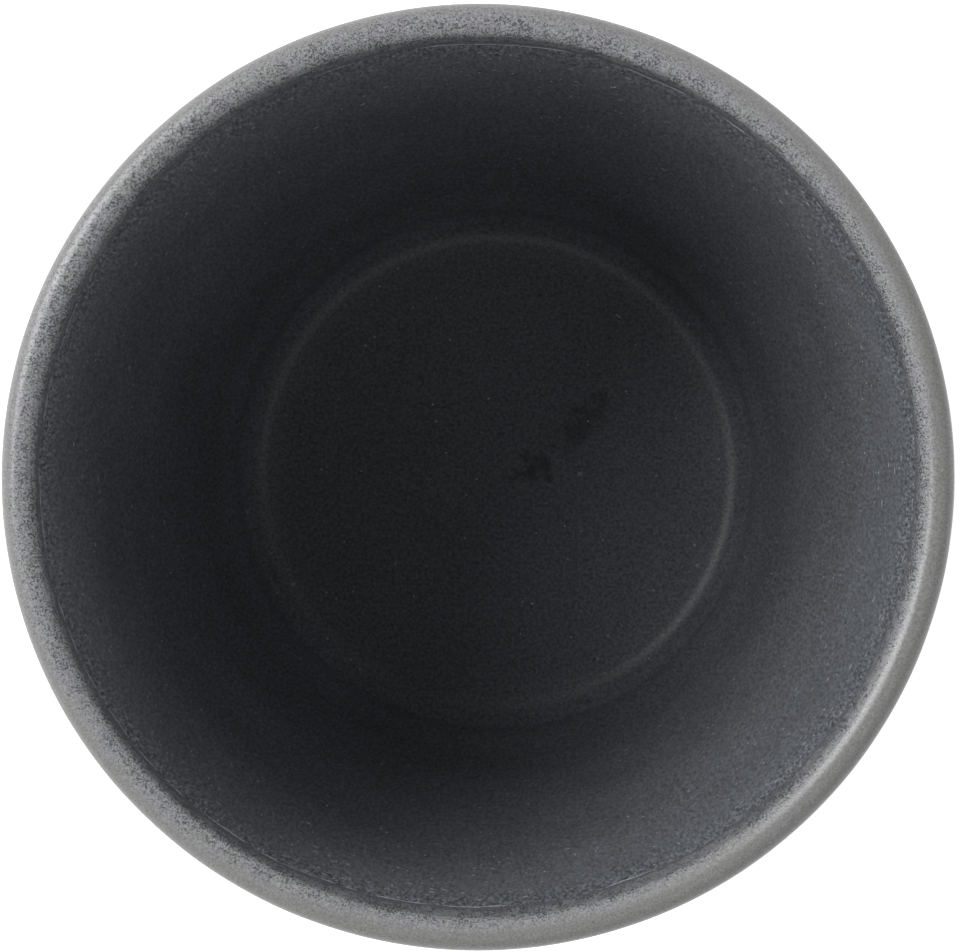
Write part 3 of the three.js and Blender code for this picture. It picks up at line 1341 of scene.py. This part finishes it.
@dataclass(frozen=True)
class RimBead:
    """The thin bead in which the grey glaze ends, swelling and fading along its wavy edge."""

    pot: Pot
    thickest: float = 0.11 * MM
    thinnest: float = 0.012 * MM
    sunk: float = 0.03 * MM  # how far its middle lies under the skin of the dark coat
    swell_length: float = 1.8 * MM
    long_swell: float = 4.0  # how many times longer the slower swelling is
    long_share: float = 0.5  # how strong it is beside the other
    faded: tuple[tuple[float, float, float], ...] = (  # where it fades, how far to each side, and how much
        (math.radians(-15), math.radians(90), 0.9),
        (math.radians(132), math.radians(35), 0.9),
    )
    sides: int = 8
    finish: PlainGrain = PlainGrain("grey_glaze_bead", "#9a9da0", "#7b7e82")

    def _line(self) -> np.ndarray:
        """The middle of the bead.

        Returns:
            Its x, y and z at each turn step.
        """
        wall, distance = self.pot.clay.inner_wall, self.pot.edge_distance
        clay = wall.points(distance)
        ahead = wall.points(distance + MM) - clay
        along = ahead / np.linalg.norm(ahead, axis=-1, keepdims=True)
        away = np.stack([along[:, 1], -along[:, 0]], axis=-1)
        return self.pot.warp.bent(turned_points(clay + away * (self.pot.sizes.dark_coat - self.sunk)))

    def _breadth(self, line: np.ndarray) -> np.ndarray:
        """Half the bead's breadth.

        Args:
            line: The middle of the bead.

        Returns:
            One value for each turn step.
        """
        fade = np.zeros(TURN_STEPS)
        for middle, reach, strength in self.faded:
            away = np.abs((ANGLES - middle + math.pi) % (2 * math.pi) - math.pi)
            fade += strength * smooth_step(1 - away / reach)
        quick = noise_at(line, self.swell_length, Draw.BEAD)
        slow = noise_at(line, self.long_swell * self.swell_length, Draw.LONG_BEAD)
        swell = smooth_step(0.5 + quick + self.long_share * slow - fade)
        return self.thinnest + (self.thickest - self.thinnest) * swell

    def build(self) -> bpy.types.Object:
        """Builds and dresses the bead.

        Returns:
            The new object.
        """
        line = self._line()
        edges = [(i, (i + 1) % TURN_STEPS) for i in range(TURN_STEPS)]
        carrier = new_mesh("bead_line", line, [], {Mark.BREADTH: self._breadth(line)}, edges)
        material = self.finish.material()
        piece = grown("rim_bead", carrier, bead_tree(), {"Sides": self.sides, "Material": material})
        return finish_piece(piece, material, Slot.SPECKLED, "rim_glaze_bead")


@dataclass(frozen=True)
class InsideCoat(Coat):
    """The dark coat, from under the grey edge down the wall and across the floor."""

    skin: GlazeSkin = GlazeSkin(swell=0.012 * MM)
    mist_reach: float = 30 * MM  # how far down the wall the grey mist fades out
    mist_fall: float = 1.5  # the power with which it does
    pool_reach: float = 2 * MM  # how far beyond the corner of the floor the gathered glaze fades out
    pool_lean: float = 0.75  # how much less of it has gathered on one side
    pool_least_at: float = math.radians(-118)
    painted_sheen_height: float = 2 * MM  # how far above the floor the painted sheen is full
    painted_sheen_from: float = 4 * MM  # from there up the wall, beyond that corner, it fades out
    painted_sheen_to: float = 14 * MM
    drift_length: float = 18 * MM  # the size of the patches in which the drops lie
    clear_centre: float = 0.2 * MM  # what is left free of grains at the axis
    clear_edge: float = 0.5 * MM  # and below the grey edge
    drops_share: tuple[float, float] = (0.07, 0.93)  # how thickly drops lie on the floor, and what the mist adds
    dust_share: tuple[float, float] = (0.5, 0.5)
    drops: ScatteredGrains = ScatteredGrains(
        name="pale_drops",
        slot=Slot.DARK,
        finish=PlainGrain("grey_mist_drop", "#a6a9ad", "#7b7e82"),
        density=0.08e6,
        least=(0.25 * MM, 0.02 * MM),
        most=(0.75 * MM, 0.06 * MM),
        seed=11,
    )
    dust: ScatteredGrains = ScatteredGrains(
        name="pale_dust",
        slot=Slot.DARK,
        finish=PlainGrain("grey_dust", "#d6d8db", "#a2a5a9"),
        density=0.06e6,
        least=(0.12 * MM, 0.04 * MM),
        most=(0.24 * MM, 0.08 * MM),
        seed=5,
    )
    finish: DarkMattGlaze = DarkMattGlaze()

    def surface(self) -> tuple[np.ndarray, np.ndarray, dict[Mark, np.ndarray]]:
        """Works out the coat.

        Returns:
            The rows on the clay, the rows on the outer surface, and the marks of the surface.
        """
        clay = all_round(self.pot.clay.inside)
        below = run_lengths(clay) - self.pot.edge_distance[None, :]
        mist = (1 - smooth_step(below / self.mist_reach)) ** self.mist_fall
        surface = lifted(clay, self.skin.thickness(clay, self.pot.sizes.dark_coat))
        away = np.linalg.norm(clay[..., None, :] - self.pot.clay.floor_fillet, axis=-1).min(axis=-1)
        gathered = 1 - self.pool_lean * np.maximum(np.cos(ANGLES - self.pool_least_at), 0.0) ** 2
        pool = gathered * (1 - smooth_step(away / self.pool_reach))
        # The painted sheen: a paler colour low on the wall, full just above the floor and fading out up the wall.
        fading = smooth_step((away - self.painted_sheen_from) / (self.painted_sheen_to - self.painted_sheen_from))
        settled = smooth_step((clay[..., 1] - self.pot.sizes.clay_floor) / self.painted_sheen_height) * (1 - fading)
        return clay, surface, {Mark.MIST: mist, Mark.POOL: pool, Mark.PAINTED_SHEEN: settled}

    def build(self) -> bpy.types.Object:
        """Builds and dresses the coat."""
        piece = self.laid("dark_inside_coat", *self.surface())
        return finish_piece(piece, self.finish.material(), Slot.DARK, "inside_glaze")

    def build_grains(self) -> None:
        """Scatters the drops of grey mist, broad ones high on the wall and tiny ones all over."""
        _, surface, marks = self.surface()
        open_rows = surface[:, 0, 0] > self.clear_centre
        surface, mist = surface[open_rows], marks[Mark.MIST][open_rows]
        below_edge = run_lengths(surface) > self.pot.edge_distance + self.clear_edge
        drift = smooth_step(0.5 + noise_at(turned_points(surface), self.drift_length, Draw.DRIFT))
        everywhere, added = self.drops_share
        self.drops.build(surface, (everywhere + added * np.sqrt(mist)) * drift * below_edge, self.pot.warp)
        everywhere, added = self.dust_share
        self.dust.build(surface, (everywhere + added * mist) * below_edge, self.pot.warp)


@dataclass(frozen=True)
class WellCoat(Coat):
    """The grey coat in the hollow under the pot."""

    def build(self, material: bpy.types.Material) -> bpy.types.Object:
        """Builds and dresses the coat.

        Args:
            material: The grey glaze.

        Returns:
            The new object.
        """
        clay = all_round(self.pot.clay.well)
        lengths = run_lengths(clay)
        rounding = self.skin.rounding(lengths[-1] - lengths)
        surface = lifted(clay, self.skin.thickness(clay, self.pot.sizes.grey_coat) * rounding)
        piece = self.laid("grey_well_coat", clay, surface, self.clean_marks(clay))
        return finish_piece(piece, material, Slot.GREY, "foot_well_glaze")


# The studio


@dataclass(frozen=True)
class SoftBox:
    """A soft box that hangs round the pot and faces its mouth."""

    name: str
    azimuth: float
    elevation: float
    roll: float
    width: float
    height: float
    radiance: float  # as bright as this many white cards
    distance: float = 1.5

    def hang(self, target: Vector) -> None:
        """Hangs the box.

        Args:
            target: The point that it faces.
        """
        flat = math.cos(self.elevation)
        towards = Vector((flat * math.cos(self.azimuth), flat * math.sin(self.azimuth), math.sin(self.elevation)))
        data = bpy.data.lights.new(self.name, "AREA")
        data.shape = "RECTANGLE"
        data.size, data.size_y = self.width, self.height
        data.energy = self.radiance * math.pi * self.width * self.height
        lamp = bpy.data.objects.new(self.name, data)
        turn = towards.to_track_quat("Z", "Y") @ Quaternion((0.0, 0.0, 1.0), self.roll)
        lamp.matrix_world = Matrix.Translation(target + towards * self.distance) @ turn.to_matrix().to_4x4()
        bpy.context.scene.collection.objects.link(lamp)


@dataclass(frozen=True)
class Studio:
    """The plain pale floor, the soft light and the camera, which looks down from almost straight above. The key
    hangs up on the left, behind, and a weak fill hangs low on the right, behind."""

    sizes: PotSizes
    image_width: int = 960
    image_height: int = 952
    mouth_radius_px: float = 475.2
    mouth_centre_px: tuple[float, float] = (477.7, 477.4)
    floor_shift_px: tuple[float, float] = (18.8, 6.0)  # how far the floor lies right of and above the mouth's centre
    camera_distance: float = 0.8  # above the lip
    sensor: float = 36.0
    clip: tuple[float, float] = (0.05, 50.0)
    boxes: tuple[SoftBox, ...] = (
        SoftBox("key", math.radians(154), math.radians(42), math.radians(-20), 0.75, 1.1, 6.8),
        SoftBox("fill", math.radians(50), math.radians(12), 0.0, 0.9, 0.9, 1.3),
    )
    room: tuple[tuple[float, float], ...] = (  # the sine of the height, and how bright the room is there
        (0.0, 0.5), (0.26, 0.5), (0.5, 0.25), (0.8, 0.42), (0.94, 0.51), (0.985, 0.0),
    )
    room_side: tuple[float, float] = (0.04, -0.5)  # how much brighter it is towards +X and +Y, as shares
    floor_size: float = 12.0
    floor_colour: str = "#dcdcdc"
    floor_glow: float = 0.8  # what is added where the floor is seen as the background

    def build(self) -> None:
        """Makes the camera, the lights, the surroundings and the floor."""
        self._camera()
        for box in self.boxes:
            box.hang(Vector((0.0, 0.0, self.sizes.height)))
        self._surroundings()
        self._floor()
        bpy.context.scene.view_settings.view_transform = "Standard"

    def _camera(self) -> None:
        """Sets the camera where the photograph's view of mouth and floor puts it."""
        level = float(self.sizes.lip_centre[1])
        scale = self.mouth_radius_px / self.sizes.mouth_radius
        depth = level - self.sizes.clay_floor - self.sizes.dark_coat
        drift = scale * depth / (self.camera_distance + depth)
        across, up = self.floor_shift_px
        eye = Vector((across / drift, up / drift, level + self.camera_distance))
        mouth_x, mouth_y = self.mouth_centre_px
        aim = Vector(((self.image_width / 2 - mouth_x) / scale, (mouth_y - self.image_height / 2) / scale, level))
        back = (eye - aim).normalized()
        right = Vector((0.0, 1.0, 0.0)).cross(back).normalized()
        turn = Matrix((right, back.cross(right), back)).transposed()
        data = bpy.data.cameras.new("camera")
        data.sensor_width = self.sensor
        data.lens = scale * (eye - aim).length * self.sensor / self.image_width
        data.clip_start, data.clip_end = self.clip
        camera = bpy.data.objects.new("camera", data)
        camera.matrix_world = Matrix.Translation(eye) @ turn.to_4x4()
        bpy.context.scene.collection.objects.link(camera)
        bpy.context.scene.camera = camera

    def _surroundings(self) -> None:
        """Makes a pale room that is bright near the horizon and dark overhead, behind the camera."""
        world = bpy.data.worlds.new("room")
        tree = cleared_tree(world)
        place = add_node(tree, "ShaderNodeTexCoord", output="Generated")
        up = add_node(tree, "ShaderNodeSeparateXYZ", {0: place}, 2)
        colour = add_node(tree, "ShaderNodeValToRGB", {0: up}, "Color")
        stops = colour.node.color_ramp.elements
        for number, (height, value) in enumerate(self.room):
            stop = stops[number] if number < 2 else stops.new(height)
            stop.position, stop.color = height, (value, value, value, 1.0)
        tilt = {0: place, 1: (*self.room_side, 0.0)}
        sideways = add_node(tree, "ShaderNodeVectorMath", tilt, "Value", operation="DOT_PRODUCT")
        share = add_node(tree, MATH, {0: sideways, 1: 1.0}, operation="ADD")
        background = add_node(tree, "ShaderNodeBackground", {"Color": colour, "Strength": share})
        add_node(tree, "ShaderNodeOutputWorld", {"Surface": background})
        bpy.context.scene.world = world

    def _floor(self) -> None:
        """Lays a wide pale floor, nearly white to the camera, that keeps the pot's shadow."""
        half = self.floor_size / 2
        corners = np.array([(-half, -half, 0.0), (half, -half, 0.0), (half, half, 0.0), (-half, half, 0.0)])
        mesh = new_mesh("floor", corners, [[0, 1, 2, 3]], {})
        floor = link_mesh("floor", mesh)
        material = bpy.data.materials.new("pale_floor")
        tree = cleared_tree(material)
        paint = add_node(tree, "ShaderNodeBsdfDiffuse", {"Color": linear(self.floor_colour)})
        glow = add_node(tree, "ShaderNodeEmission", {"Strength": self.floor_glow})
        rays = add_node(tree, "ShaderNodeLightPath").node.outputs
        seen = rays[Ray.CAMERA.value]
        for ray in (Ray.GLOSSY, Ray.TRANSMISSION):
            seen = add_node(tree, MATH, {0: seen, 1: rays[ray.value]}, operation="MAXIMUM")
        lit = add_node(tree, "ShaderNodeAddShader", {0: paint, 1: glow})
        shown = add_node(tree, "ShaderNodeMixShader", {0: seen, 1: paint, 2: lit})
        add_node(tree, "ShaderNodeOutputMaterial", {"Surface": shown})
        mesh.materials.append(material)


def main() -> None:
    """Builds the pot piece by piece, then the studio round it."""
    logging.basicConfig(level=logging.INFO, format="%(message)s")
    pot = Pot.from_frame()
    grey = GreySatinGlaze().material()
    ClayBody(pot).build()
    inside = InsideCoat(pot)
    inside.build()
    inside.build_grains()
    outside = OutsideCoat(pot)
    outside.build(grey)
    outside.build_specks()
    RimCoat(pot).build(grey)
    RimBead(pot).build()
    WellCoat(pot).build(grey)
    Studio(pot.sizes).build()


if __name__ == "__main__":
    main()
